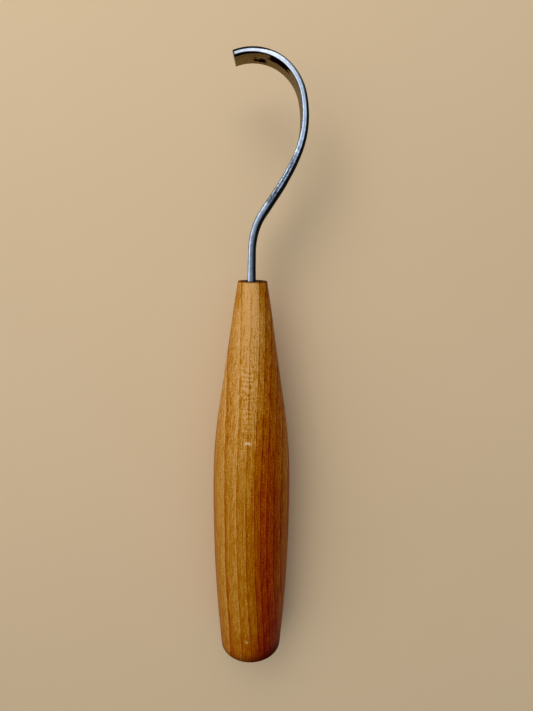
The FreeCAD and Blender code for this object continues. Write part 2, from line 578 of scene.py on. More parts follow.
def make_adhesive():
    """The cured glue: a cup round the tang, with a dished and rippled surface."""
    slot = rounded_rectangle(SLOT_WIDTH - 2 * GLUE_GAP, SLOT_HEIGHT - 2 * GLUE_GAP,
                             SLOT_CORNER, HANDLE_AROUND)
    tang = tang_outline(0)
    rings = [ring_at(slot, depth) for depth in (SLOT_DEPTH - GLUE_GAP, *GLUE_WALL_DEPTHS)]
    top = HANDLE_LENGTH - glue_high.y
    for part in GLUE_TOP_RINGS:
        sag = GLUE_SAG * (1 - (2 * part - 1) ** 4)
        ring = []
        for x, z in between(slot, tang, part):
            spot = Vector((x * GLUE_RIPPLE_STEPS, z * GLUE_RIPPLE_STEPS, 3))
            ripple = GLUE_RIPPLE * noise.noise(spot)
            ring.append((x, HANDLE_LENGTH - top - sag + ripple * (sag / GLUE_SAG), z))
        rings.append(ring)
    rings += [ring_at(tang_outline(-depth), depth)
              for depth in (*GLUE_TANG_DEPTHS, TANG_LENGTH + GLUE_UNDER_TANG)]
    return build_mesh("adhesive_fillet", rings)


# ===== material graph =====

class Graph:
    """Short calls for building the nodes of one material, or of the world."""

    def __init__(self, name, library=bpy.data.materials, output="OutputMaterial"):
        self.made = library.new(name)
        self.made.use_nodes = True
        self.tree = self.made.node_tree
        self.tree.nodes.clear()
        self.output = self.node(output)

    def node(self, kind, *values, **settings):
        """A new node with values for its inputs, in order; None leaves one alone."""
        made = self.tree.nodes.new("ShaderNode" + kind)
        for key, value in settings.items():
            setattr(made, key, value)
        for socket, value in zip(made.inputs, values):
            self.feed(socket, value)
        return made

    def feed(self, socket, value):
        if isinstance(value, bpy.types.NodeSocket):
            self.tree.links.new(value, socket)
        elif value is not None:
            socket.default_value = value

    def math(self, operation, first, second=None):
        return self.node("Math", first, second, operation=operation).outputs[0]

    def add(self, first, second):
        return self.math("ADD", first, second)

    def minus(self, first, second):
        return self.math("SUBTRACT", first, second)

    def times(self, first, second):
        return self.math("MULTIPLY", first, second)

    def larger(self, first, second):
        return self.math("MAXIMUM", first, second)

    def swing(self, value, size):
        """A value between 0 and 1 as a change of up to half of size either way."""
        return self.times(self.add(value, -0.5), size)

    def vector(self, operation, first, second=None):
        made = self.node("VectorMath", first, second, operation=operation)
        return made.outputs["Value" if operation in ("DOT_PRODUCT", "LENGTH") else "Vector"]

    def noise(self, vector, steps, detail=2.0, rough=0.5):
        """Smooth noise, with its steps per unit of each part of the vector."""
        place = self.vector("MULTIPLY", vector, steps)
        return self.node("TexNoise", place, None, 1.0, detail, rough).outputs["Fac"]

    def cells(self, vector, steps):
        """Distance to the nearest of points scattered about a step apart."""
        place = self.vector("MULTIPLY", vector, steps)
        return self.node("TexVoronoi", place, None, 1.0).outputs["Distance"]

    def window(self, value, start, end, low=0.0, high=1.0, kind="SMOOTHSTEP"):
        """low before start, high after end; start may lie beyond end."""
        return self.node("MapRange", value, start, end, low, high,
                         interpolation_type=kind).outputs[0]

    def band(self, value, start, rise_end, fall_start, end):
        """1 between rise_end and fall_start, 0 outside start and end."""
        rise = self.window(value, start, rise_end)
        fall = self.window(value, fall_start, end, 1.0, 0.0)
        return self.times(rise, fall)

    def mix(self, part, first, second, blend="MIX"):
        made = self.node("Mix", part, data_type="RGBA", blend_type=blend)
        self.feed(made.inputs[6], first)
        self.feed(made.inputs[7], second)
        return made.outputs[2]

    def blend(self, part, first, second):
        return self.node("Mix", part, None, first, second, data_type="FLOAT").outputs[0]

    def colours(self, value, stops):
        """The colour at value on a ramp of (place, colour) stops."""
        made = self.node("ValToRGB", value)
        points = made.color_ramp.elements
        while len(points) < len(stops):
            points.new(0.5)
        for point, (place, colour) in zip(points, stops):
            point.position = place
            point.color = (*colour, 1.0)
        return made.outputs["Color"]

    def curve(self, value, points, handles="VECTOR"):
        """A curve through points that lie between 0 and 1, straight or smooth."""
        made = self.node("FloatCurve", None, value)
        line = made.mapping.curves[0].points
        while len(line) < len(points):
            line.new(0.5, 0.5)
        for point, place in zip(line, points):
            point.location = place
            point.handle_type = handles
        made.mapping.update()
        return made.outputs["Value"]

    def attribute(self, name, output="Fac"):
        return self.node("Attribute", attribute_name=name).outputs[output]

    def parts(self, vector):
        return self.node("SeparateXYZ", vector).outputs

    def join(self, x, y, z):
        return self.node("CombineXYZ", x, y, z).outputs[0]

    def bump(self, height, distance, strength):
        made = self.node("Bump", strength, distance)
        self.feed(made.inputs["Height"], height)
        return made.outputs[0]

    def place_mm(self):
        """The point's place in the CAD frame, in millimetres."""
        place = self.node("TexCoord").outputs["Object"]
        return self.vector("MULTIPLY", place, (1 / MM, 1 / MM, 1 / MM))

    def surface(self, **inputs):
        """The one shader of a surface, with _ for each space in its inputs' names."""
        shader = self.node("BsdfPrincipled")
        for name, value in inputs.items():
            self.feed(shader.inputs[name.replace("_", " ")], value)
        return shader.outputs[0]

    def finish(self, result):
        self.tree.links.new(result, self.output.inputs[0])
        return self.made


# ===== wood =====

PITH_X = -60
PITH_Z = 4
RING_SPAN = 20
RING_EDGES = (-20, -14.6, -9.1, -3.9, -0.3, 2.9, 5, 7.1, 9.5, 12, 14.6, 20)
RING_DRIFT = (
    # distance from the butt, how far the rings wander sideways there
    (0, -1.37), (25, -0.31), (50, 0.35), (75, 0.55), (100, 0.22), (125, 0.2), (155, 0.35),
)
DRIFT_SPAN = 2
RING_WANDER = (
    # noise steps per mm, its detail, how far it pushes the rings about
    ((0.1, 0.03, 0.1), 2, 0.9),
    ((0.8, 0.12, 0.8), 3, 0.4),
)
# Distances from the butt between which a change comes in.
FRONT_ZONE = (80, 148)
BUTT_ZONE = (80, 8)
BUTT_END = (22, 2)
FRONT_END = (139, 152)
# Tables over the rings start with the place across them, as RING_EDGES does.
TONE_MIDDLE = (
    # tone between dark heartwood 0 and pale wood 1
    (-20, 0.76), (-12, 0.75), (-6.5, 0.73), (-2.2, 0.71), (1, 0.64), (3.5, 0.55),
    (5.7, 0.47), (8.2, 0.42), (10.8, 0.45), (13.3, 0.57), (20, 0.6),
)
FRONT_PAINTED_LIGHT = (
    # how much paler they get at the front end: painted light
    (-20, 0.04), (-6.5, 0.09), (-2.2, 0.28), (1, 0.38), (3.5, 0.31), (5.7, 0.18), (8.2, 0.2),
    (20, 0.16),
)
BUTT_PAINTED_SHADE = (
    # how much darker they get at the butt end: painted shade
    (-20, 0.08), (-6.5, 0.07), (-2.2, 0.1), (1, 0.1), (3.5, 0.17), (5.7, 0.22), (8.2, 0.16),
    (20, 0.06),
)
# Painted shade: how much darker the wood gets near the butt end.
BUTT_END_PAINTED_SHADE = 0.1
FRONT_END_LOSS = (
    # how much darker they get in the last bit before the blade
    (-20, 0.19), (-4.4, 0.19), (-3.2, 0.12), (-2.2, 0), (1.8, 0), (2.5, 0.05), (3.4, 0.17),
    (4.8, 0.15), (6, 0.1), (20, 0.1),
)
GRAIN_LIFT = (
    # how strongly the fibres lighten the wood there
    (-20, 0.95), (-3, 0.95), (2.9, 1), (5, 1), (12, 1.15), (20, 1.1),
)
RING_SWING = (
    # how far tone rises from one dark ring line to the next
    (-20, 0.18), (-6.5, 0.18), (-2.2, 0.09), (1, 0.1), (5.7, 0.1), (10, 0.08), (20, 0.08),
)
RING_LINE = (
    # how dark the line is that starts each ring there
    (-20, 0.07), (-9.1, 0.08), (-3.9, 0.075), (-0.3, 0.12), (2.9, 0.18), (5, 0.2),
    (7.1, 0.17), (9.5, 0.13), (20, 0.1),
)
GRAIN_CONTRAST = (
    # how strongly fibres and streaks show
    (-20, 0.95), (-3, 0.95), (2.9, 1.15), (6, 1.7), (12, 1.9), (20, 1.6),
)
# A dark line starts each ring and a light one ends it, as shares of the ring's width.
DARK_LINE = (0, 0.045, 0.08, 0.26)
LIGHT_LINE = (0.84, 0.93, 0.975, 1)
LIGHT_LINE_GAIN = 0.03
LINE_STEPS = (0.5, 0.11, 0.5)
# A window of four: noise from and to, then what it becomes.
LINE_STRENGTH = (0.3, 0.7, 0.35, 1.55)
GRAIN_LAYERS = (
    # name, noise steps per mm, detail, roughness, weight in the grain
    ("fibres", (2, 0.2, 2), 4, 0.7, 0.72),
    ("streaks", (0.8, 0.03, 0.8), 3, 0.55, 0.17),
    ("flecks", (3.2, 2.4, 3.2), 3, 0.7, 0.95),
    ("ripples", (0.9, 3.4, 0.9), 2, 0.6, 0.3),
    ("hairlines", (1.9, 0.022, 1.9), 2, 0.55, 0.34),
)
GRAIN_SPAN = 2
# The grain stands out more here, in front of the belly.
LIVELY_ALONG = (84, 104, 134, 148)
LIVELY_ACROSS = (4, 2)
LIVELY_GAIN = 0.28
PORE_STEPS = (1.9, 0.42, 1.9)
PORE_EDGE = (0.1, 0.22)
PORE_TONE = -0.12
# Curly figure: close ripples across the grain.
CURL_ACROSS = (-3.8, -2, 1, 3.2)
CURL_ALONG = (92, 116, 128, 142)
CURL_SPACING = 1.9
CURL_SWAY = 16
CURL_SWAY_STEPS = (0.22, 0.16, 0.22)
CURL_FADE_STEPS = (0.3, 0.12, 0.3)
CURL_FADE = (0.38, 0.6)
CURL_TONE = 0.115
# Redder heartwood towards +X.
RED_ACROSS = (3.4, 5.4, 8.6, 11)
RED_ALONG = (4, 20, 70, 105)
RED_STREAKS = (0.35, 0.6, 0.45, 1)
RED_TINT = (1.07, 0.8, 1, 1)
RUBBED_SPOTS = (
    # x and distance from the butt, half sizes, how bent, strength, colour
    ((-1.2, 96.8), (1.6, 0.55), 0.9, 0.85, (0.74, 0.49, 0.25, 1)),
    ((-1.35, 12.1), (0.75, 0.95), 0, 0.42, (0.74, 0.44, 0.13, 1)),
)
SPOT_EDGE = (1.15, 0.55)
SPOT_HEIGHT = (0, 5)
END_FACING = (0.34, 0.8)
END_GRAIN_STEPS = (5, 0.5, 5)
END_GRAIN_TONES = ((0.05, 0.006, 0, 1), (0.15, 0.034, 0.003, 1))
END_RING_COLOUR = (0.2, 0.06, 0.008, 1)
# The butt's rim: dark oiled end grain with painted shade on its rounding, reaching further from the
# butt on the +X side.
BUTT_RIM = (8, 0.6)
BUTT_RIM_LEAN = -0.16
BUTT_RIM_GRAIN_AND_SHADE_COLOUR = (0.046, 0.001, 0, 1)
FRONT_RIM = (HANDLE_LENGTH - 0.75, HANDLE_LENGTH - 0.25)
FRONT_RIM_COLOUR = (0.085, 0.014, 0.001, 1)
# Painted shade: a near-black patch on the front face round the slot, where the tang and the glue
# shade the wood.
SLOT_SHADE_PLACE = 0.45
SLOT_SHADE_EDGE = (3.1, 2.3)
SLOT_SHADE_START = (HANDLE_LENGTH - 0.25, HANDLE_LENGTH - 0.05)
SLOT_SHADE_COLOUR = (0.006, 0.002, 0.001, 1)
END_COVER, BUTT_COVER, FRONT_COVER, SLOT_SHADE_COVER = 0.85, 0.94, 0.7, 0.95
# Distance in metres, and strength.
WOOD_BUMP = (0.00006, 0.8)
OIL_GLOSS = (0.05, 0.01)
OIL_TINT = (1, 0.52, 0.14, 1)
WOOD_TONES = (
    # tone, colour
    (0, (0.13, 0.001, 0)),
    (0.12, (0.176, 0.006, 0)),
    (0.21, (0.213, 0.013, 0)),
    (0.36, (0.272, 0.035, 0)),
    (0.47, (0.305, 0.06, 0)),
    (0.6, (0.362, 0.108, 0)),
    (0.68, (0.412, 0.155, 0.001)),
    (0.75, (0.462, 0.2, 0.016)),
    (0.88, (0.575, 0.275, 0.062)),
    (1, (0.67, 0.345, 0.11)),
)


def across_curve(g, share, stations, span=1.0):
    """A curve over the rings from (place, value) stations; values lie in 0 to span."""
    points = [((at + RING_SPAN) / (2 * RING_SPAN), value / span) for at, value in stations]
    return g.times(g.curve(share, points), span)


def rubbed_spot(g, x, y, z, place, size, bend):
    """A small rubbed spot on the top of the handle, curved like a fingernail by bend."""
    spot_x = g.times(g.add(x, -place[0]), 1 / size[0])
    spot_y = g.times(g.add(y, -place[1]), 1 / size[1])
    spot_y = g.add(spot_y, g.times(g.times(spot_x, spot_x), bend))
    spot = g.window(g.vector("LENGTH", g.join(spot_x, spot_y, 0.0)), *SPOT_EDGE)
    return g.times(spot, g.window(z, *SPOT_HEIGHT))


def ring_place(g, place, x, y, z):
    """How far across the growth rings a point lies; the rings circle the pith."""
    drift_points = [(at / HANDLE_LENGTH, shift / (2 * DRIFT_SPAN) + 0.5)
                    for at, shift in RING_DRIFT]
    drift = g.curve(g.times(y, 1 / HANDLE_LENGTH), drift_points, "AUTO")
    from_pith = g.vector("LENGTH", g.join(g.add(x, -PITH_X), 0.0, g.add(z, -PITH_Z)))
    across = g.add(g.add(from_pith, PITH_X), g.swing(drift, 2 * DRIFT_SPAN))
    for steps, detail, push in RING_WANDER:
        across = g.add(across, g.swing(g.noise(place, steps, detail), push))
    return across


def ring_tone(g, place, y, share, phase):
    """The tone of the growth rings, without their fibres, with painted light at the front and
    painted shade towards the butt.
    """
    tone = across_curve(g, share, TONE_MIDDLE)
    # Painted light towards the front, painted shade towards the butt.
    front = g.window(y, *FRONT_ZONE, kind="LINEAR")
    tone = g.add(tone, g.times(front, across_curve(g, share, FRONT_PAINTED_LIGHT)))
    butt = g.window(y, *BUTT_ZONE, kind="LINEAR")
    tone = g.minus(tone, g.times(butt, across_curve(g, share, BUTT_PAINTED_SHADE)))
    tone = g.minus(tone, g.times(g.window(y, *BUTT_END), BUTT_END_PAINTED_SHADE))
    front_end = g.window(y, *FRONT_END)
    tone = g.minus(tone, g.times(front_end, across_curve(g, share, FRONT_END_LOSS)))
    tone = g.add(tone, g.swing(phase, across_curve(g, share, RING_SWING)))
    strength = g.window(g.noise(place, LINE_STEPS, 3.0, 0.7), *LINE_STRENGTH)
    dark_line = g.times(g.band(phase, *DARK_LINE), strength)
    tone = g.minus(tone, g.times(dark_line, across_curve(g, share, RING_LINE)))
    light_line = g.times(g.band(phase, *LIGHT_LINE), strength)
    return g.add(tone, g.times(light_line, LIGHT_LINE_GAIN))


def grain_layers(g, place):
    """Each layer of the grain by name, and their weighted sum."""
    layers, grain = {}, 0.0
    for name, steps, detail, rough, weight in GRAIN_LAYERS:
        layers[name] = g.noise(place, steps, detail, rough)
        grain = g.add(grain, g.swing(layers[name], weight))
    return layers, grain


def grained_tone(g, tone, grain, y, across, share):
    """The tone with the grain laid over it; its dips and lifts have their own strengths."""
    lively = g.times(g.band(y, *LIVELY_ALONG), g.window(across, *LIVELY_ACROSS))
    grain = g.times(grain, g.add(g.times(lively, LIVELY_GAIN), 1.0))
    contrast = across_curve(g, share, GRAIN_CONTRAST, GRAIN_SPAN)
    lift = across_curve(g, share, GRAIN_LIFT, GRAIN_SPAN)
    tone = g.add(tone, g.times(g.math("MINIMUM", grain, 0.0), contrast))
    return g.add(tone, g.times(g.larger(grain, 0.0), lift))


def curly_figure(g, place, y, across):
    """Ripples across the grain, between -1 and 1."""
    zone = g.times(g.band(across, *CURL_ACROSS), g.band(y, *CURL_ALONG))
    sway = g.times(g.noise(place, CURL_SWAY_STEPS), CURL_SWAY)
    curl = g.math("SINE", g.add(g.times(y, 2 * math.pi / CURL_SPACING), sway))
    curl = g.times(curl, g.window(g.noise(place, CURL_FADE_STEPS), *CURL_FADE))
    return g.times(curl, zone)


def worn_colour(g, tone, x, y, z, across, streaks):
    """The wood's colour from its tone, with redder heartwood and rubbed spots."""
    colour = g.colours(tone, WOOD_TONES)
    red_zone = g.times(g.band(across, *RED_ACROSS), g.band(y, *RED_ALONG))
    red_zone = g.times(red_zone, g.window(streaks, *RED_STREAKS))
    colour = g.mix(red_zone, colour, RED_TINT, "MULTIPLY")
    for place, size, bend, strength, light in RUBBED_SPOTS:
        spot = rubbed_spot(g, x, y, z, place, size, bend)
        colour = g.mix(g.times(spot, strength), colour, light)
    return colour


def end_grain_colour(g, place, phase):
    """Dark oiled end grain, with the rings faintly in it."""
    speckle = g.noise(place, END_GRAIN_STEPS, 3.0, 0.7)
    return g.mix(g.times(phase, 0.4), g.mix(speckle, *END_GRAIN_TONES), END_RING_COLOUR)


def wood_material():
    """Oiled hardwood: growth rings run lengthwise, with fibres, pores and end grain."""
    g = Graph("oiled_hardwood")
    place = g.place_mm()
    x, y, z = g.parts(place)[:]
    across = ring_place(g, place, x, y, z)
    share = g.window(across, -RING_SPAN, RING_SPAN, kind="LINEAR")
    edges = [(edge, i) for i, edge in enumerate(RING_EDGES)]
    phase = g.math("FRACT", across_curve(g, share, edges, len(edges) - 1))

    layers, grain = grain_layers(g, place)
    tone = ring_tone(g, place, y, share, phase)
    tone = grained_tone(g, tone, grain, y, across, share)
    pores = g.window(g.cells(place, PORE_STEPS), *PORE_EDGE, 1.0, 0.0)
    tone = g.add(tone, g.times(pores, PORE_TONE))
    curl = curly_figure(g, place, y, across)
    tone = g.add(tone, g.times(curl, CURL_TONE))
    colour = worn_colour(g, tone, x, y, z, across, layers["streaks"])

    facing = g.parts(g.node("NewGeometry").outputs["Normal"])[1]
    end_grain = g.window(g.math("ABSOLUTE", facing), *END_FACING)
    colour = g.mix(g.times(end_grain, END_COVER), colour, end_grain_colour(g, place, phase))
    # Darker rim at the butt: end grain and painted shade.
    rim = g.window(g.add(y, g.times(x, BUTT_RIM_LEAN)), *BUTT_RIM)
    colour = g.mix(g.times(rim, BUTT_COVER), colour, BUTT_RIM_GRAIN_AND_SHADE_COLOUR)
    front_rim = g.window(y, *FRONT_RIM)
    colour = g.mix(g.times(front_rim, FRONT_COVER), colour, FRONT_RIM_COLOUR)
    # Painted shade on the front face round the slot.
    from_slot = g.math("ABSOLUTE", g.add(x, -SLOT_SHADE_PLACE))
    slot_shade = g.times(g.window(from_slot, *SLOT_SHADE_EDGE), g.window(y, *SLOT_SHADE_START))
    colour = g.mix(g.times(slot_shade, SLOT_SHADE_COVER), colour, SLOT_SHADE_COLOUR)

    rough = g.add(g.times(layers["fibres"], 0.16), 0.36)
    rough = g.blend(end_grain, rough, 0.62)
    gloss = g.blend(g.larger(rim, front_rim), *OIL_GLOSS)
    relief = g.add(g.times(layers["fibres"], 0.6), g.times(layers["flecks"], 0.4))
    relief = g.add(g.add(relief, g.times(pores, -0.6)), curl)
    normal = g.bump(relief, *WOOD_BUMP)
    return g.finish(g.surface(Base_Color=colour, Roughness=rough, Normal=normal,
                              Specular_IOR_Level=gloss, Specular_Tint=OIL_TINT))


# ===== steel =====

# Tones of the spine: place from its inner corner -1 to its outer corner 1, brightness. The bright
# band near the inner corner and the brighter hook and tip are painted highlights over the steel's
# own tone; the fall to the outer corner is partly a painted dark reflection.
NECK_TONES = (
    (-1, 0.1), (-0.84, 0.54), (-0.62, 0.78), (-0.42, 0.23), (-0.1, 0.24), (0.14, 0.235),
    (0.4, 0.12), (1, 0.02),
)
BEND_TONES = (
    (-1, 0.05), (-0.86, 0.24), (-0.6, 0.56), (-0.36, 0.34), (-0.1, 0.25), (0.12, 0.22),
    (0.3, 0.1), (1, 0.015),
)
SHANK_TONES = (
    (-1, 0.04), (-0.86, 0.13), (-0.7, 0.22), (-0.5, 0.09), (-0.24, 0.05), (-0.04, 0.26),
    (0.1, 0.21), (0.24, 0.045), (1, 0.01),
)
HOOK_TONES = (
    (-1, 0.06), (-0.86, 0.28), (-0.66, 0.68), (-0.4, 0.38), (-0.18, 0.46), (0, 0.72),
    (0.12, 0.52), (0.26, 0.13), (1, 0.02),
)
TIP_TONES = (
    (-1, 0.14), (-0.86, 0.54), (-0.6, 0.9), (-0.34, 0.7), (0, 0.76), (0.3, 0.78),
    (0.55, 0.52), (1, 0.22),
)
OUTER_EDGE = (
    # distance along, where across the spine the black outer corner begins: forge scale, partly a
    # painted dark reflection
    (0, 0.52), (12, 0.44), (20, 0.34), (26, 0.26), (44, 0.22), (60, 0.24), (66, 0.38),
    (71, 0.86), (75, 0.9), (79, 0.68), (84, 0.38), (88, 0.12), (98, 0.06),
)
CORNER_REFLECTION_LINE = (
    # distance along, how deep the painted dark reflection line below the spine runs on the inside
    (0, 0), (78, 0), (84, 0.55), (88, 1.2), (92, 1.75), (96, 2.3), (98, 2.25),
)
LINE_SPAN = 3
LINE_START = (79, 83)
LINE_EDGE = (0.1, -0.1)
TIP_BLEND = (66, 84)
SPINE_BLENDS = (
    # distances along the blade between which these tones take over from the last ones
    (12, 19, BEND_TONES),
    (27.6, 29.2, SHANK_TONES),
    (42, 54, HOOK_TONES),
    (*TIP_BLEND, TIP_TONES),
)
STEEL_TINT = (0.83, 1, 1.24, 1)
TIP_TINT = (0.95, 1.01, 1.13, 1)
# Marks on the spine: where along the blade they lie, and what they do to the tone.
TIP_DULL = (90, 96)
TIP_DULLING = 0.2
# Painted highlight: the shank's spine brighter between these places.
SHANK_HIGHLIGHT_BAND = (33, 36, 40, 45)
SHANK_HIGHLIGHT_GAIN = 0.5
EVEN_BAND = (28.4, 29.2, 31, 33)
EVEN_TONE = 0.115
MOTTLED_BAND = (28, 31, 45, 56)
MOTTLES = (0.36, 0.64, 0.4, 2.1)
GRIND_TONES = (0.28, 0.72, 0.8, 1.22)
CROSS_MARKS = (9, 15, 27, 30)
CROSS_MARK_STEPS = (2.3, 1, 1)
CROSS_MARK_TONES = (0.34, 0.66, -0.2, 0.2)
# The inner face, by its depth below the spine: dull steel whose warm brown is a painted reflection
# of a brown floor.
INNER_DEPTHS = (1.5, 9)
INNER_MOTTLE = (0.34, 0.66)
INNER_DARK = ((0.034, 0.019, 0.002, 1), (0.125, 0.076, 0.01, 1))
INNER_LIGHT = ((0.07, 0.043, 0.006, 1), (0.2, 0.134, 0.024, 1))
STAINS = (
    # noise steps along and across, detail, roughness; where along the blade and how deep
    # stains gather; how strongly they do, and the noise values between which they start
    (0.26, 0.75, 4, 0.65, (73.5, 79, 83, 87), (-0.6, 0.9, 3.4, 7.4), 0.42, (0.7, 0.75)),
    (0.3, 1.5, 3, 0.6, (84.5, 87, 89.5, 92.5), (4.6, 7, 9.4, 11.4), 0.3, (0.69, 0.74)),
)
STEEL_NOISES = (
    # name, whether it follows the blade's length, noise steps per mm, detail, roughness
    ("mottle", False, (0.9, 0.9, 0.9), 4, 0.6),
    ("fine", False, (4, 4, 4), 3, 0.6),
    ("grain", True, (0.5, 1.6, 1.6), 4, 0.65),
    ("speckle", True, (0.9, 2.2, 2.2), 3, 0.6),
    ("scratch", True, (0.25, 12, 12), 2, 0.5),
)
BEVEL_COLOUR = (0.5, 0.53, 0.57, 1)
PIT_STEPS = (0.9, 1.5, 1.5)
PIT_EDGE = (0.1, 0.24)
PIT_BAND = (32, 40, 78, 88)
PIT_COLOUR = (0.03, 0.035, 0.05, 1)
OUTER_EDGE_BLEND = (-0.13, 0.1)
RUBBED_DEPTH = (1.3, 2.6)
RUBBED_MOTTLE = (0.52, 0.62)
END_RIM = (BLADE_LENGTH - 0.6, BLADE_LENGTH - 0.2)
END_RIM_DEPTH = (1, 0.4)
SIDE_FACE_DEPTH = (1.2, 2.4)
# Forge scale on the outer corner and face, partly a painted dark reflection.
CORNER_BLACK = ((0.0012, 0.0015, 0.0026, 1), (0.01, 0.011, 0.013, 1))
FACE_BLACK = ((0.012, 0.013, 0.015, 1), (0.06, 0.06, 0.06, 1))
STAIN_AND_REFLECTION_BLACK = ((0.0015, 0.0006, 0.0003, 1), (0.01, 0.0045, 0.002, 1))
ROUGH_SHANK = (60, 36)
STEEL_BUMP = (0.00003, 0.6)
# Edge tints of bare and of scaled steel, each for the outer and for the inner face.
BARE_TINTS = ((1, 1, 1, 1), (0.79, 0.72, 0.6, 1))
SCALE_TINTS = ((0.05, 0.05, 0.055, 1), (0.3, 0.18, 0.12, 1))


def along_curve(g, along, stations, span=1.0):
    """A curve over the blade's length from (distance, value) stations."""
    share = g.window(along, 0.0, BLADE_LENGTH, kind="LINEAR")
    points = [(min(1.0, at / BLADE_LENGTH), value / span) for at, value in stations]
    return g.times(g.curve(share, points), span)


def spine_colour(g, along, side, speckle, grain):
    """Worn steel on the spine: smooth neck, mottled shank, polished hook, with painted highlights
    along the inner corner and on the hook and tip.
    """
    share = g.window(side, -1.0, 1.0, kind="LINEAR")

    def tone_across(tones):
        return g.curve(share, [(0.5 + place / 2, tone) for place, tone in tones])

    # Painted highlights: the tone tables brighten a band near the inner corner, and the hook and
    # tip.
    tone = tone_across(NECK_TONES)
    for start, end, tones in SPINE_BLENDS:
        tone = g.blend(g.window(along, start, end), tone, tone_across(tones))
    dull = g.times(g.window(along, *TIP_DULL), TIP_DULLING)
    tone = g.times(tone, g.minus(1.0, dull))
    # Painted highlight on the shank's spine.
    shank_highlight = g.times(g.band(along, *SHANK_HIGHLIGHT_BAND), SHANK_HIGHLIGHT_GAIN)
    tone = g.times(tone, g.add(shank_highlight, 1.0))
    tone = g.blend(g.times(g.band(along, *EVEN_BAND), 0.9), tone, EVEN_TONE)
    patches = g.times(tone, g.window(speckle, *MOTTLES))
    tone = g.blend(g.band(along, *MOTTLED_BAND), tone, patches)
    tone = g.times(tone, g.window(grain, *GRIND_TONES))
    marks = g.noise(g.join(along, side, 0.0), CROSS_MARK_STEPS, 2.0, 0.6)
    marks = g.times(g.window(marks, *CROSS_MARK_TONES), g.band(along, *CROSS_MARKS))
    tone = g.times(tone, g.add(marks, 1.0))
    tint = g.mix(g.window(along, *TIP_BLEND), STEEL_TINT, TIP_TINT)
    return g.vector("MULTIPLY", g.join(tone, tone, tone), tint)


def inner_colour(g, depth, mottle):
    """The inner face: dull steel tinted with a painted reflection of a brown floor, darker just
    below the spine.
    """
    cloud = g.window(mottle, *INNER_MOTTLE)
    dark, light = g.mix(cloud, *INNER_DARK), g.mix(cloud, *INNER_LIGHT)
    return g.mix(g.window(depth, *INNER_DEPTHS), dark, light)


def stain_mask(g, flow, along, depth):
    """Long black stains on the inner face, towards the hook's end."""
    stains = []
    for steps, steps_across, detail, rough, places, depths, pull, edge in STAINS:
        streaks = g.noise(flow, (steps, steps_across, steps_across), detail, rough)
        gathered = g.times(g.band(along, *places), g.band(depth, *depths))
        stains.append(g.window(g.add(streaks, g.times(gathered, pull)), *edge))
    return g.larger(*stains)


def scale_and_dark_reflection_mask(g, flow, inner, bevel, mottle):
    """Where the steel is black: forge scale on the outer face with a painted dark reflection over
    its corner, a painted dark reflection line below the spine inside, and the stains inside.
    """
    along, side, depth = g.parts(flow)[:]
    # The outer corner's black: forge scale, partly a painted dark reflection.
    outer_edge = along_curve(g, along, OUTER_EDGE)
    outer = g.window(g.minus(side, outer_edge), *OUTER_EDGE_BLEND)
    rubbed = g.times(g.window(depth, *RUBBED_DEPTH), g.window(mottle, *RUBBED_MOTTLE))
    outer = g.times(outer, g.minus(1.0, g.times(rubbed, 0.55)))
    end_rim = g.times(g.window(along, *END_RIM), 0.85)
    outer = g.larger(outer, g.times(end_rim, g.window(depth, *END_RIM_DEPTH)))
    # Painted dark reflection: a black line on the inner face just below the spine.
    line = g.minus(depth, along_curve(g, along, CORNER_REFLECTION_LINE, LINE_SPAN))
    line = g.times(g.times(inner, g.window(line, *LINE_EDGE)), g.window(along, *LINE_START))
    stain = g.times(inner, stain_mask(g, flow, along, depth))
    scale_and_dark_reflection = g.larger(outer, g.larger(line, stain))
    return g.times(scale_and_dark_reflection, g.minus(1.0, bevel))


def scale_and_dark_reflection_colour(g, depth, inner, mottle):
    """Blue-black at the spine's corner, greyer on the outer face, brown-black inside; the corner's
    black is partly, and the line inside wholly, a painted dark reflection.
    """
    on_face = g.times(g.window(depth, *SIDE_FACE_DEPTH), 0.9)
    outside = g.mix(on_face, g.mix(mottle, *CORNER_BLACK), g.mix(mottle, *FACE_BLACK))
    # The stains inside and the painted dark reflection line below the spine take this brown-black.
    return g.mix(inner, outside, g.mix(mottle, *STAIN_AND_REFLECTION_BLACK))


def steel_relief(g, noises, scratched, scale_and_dark_reflection, pits):
    """Height of the finest marks: scratches, forging texture on the shank, scale and the painted
    dark reflection, pits.
    """
    relief = g.add(g.times(noises["scratch"], 0.35), g.times(noises["fine"], 0.2))
    relief = g.add(relief, g.times(g.times(noises["speckle"], scratched), 1.6))
    relief = g.add(relief, g.times(scale_and_dark_reflection, 0.7))
    return g.add(relief, g.times(pits, -0.9))


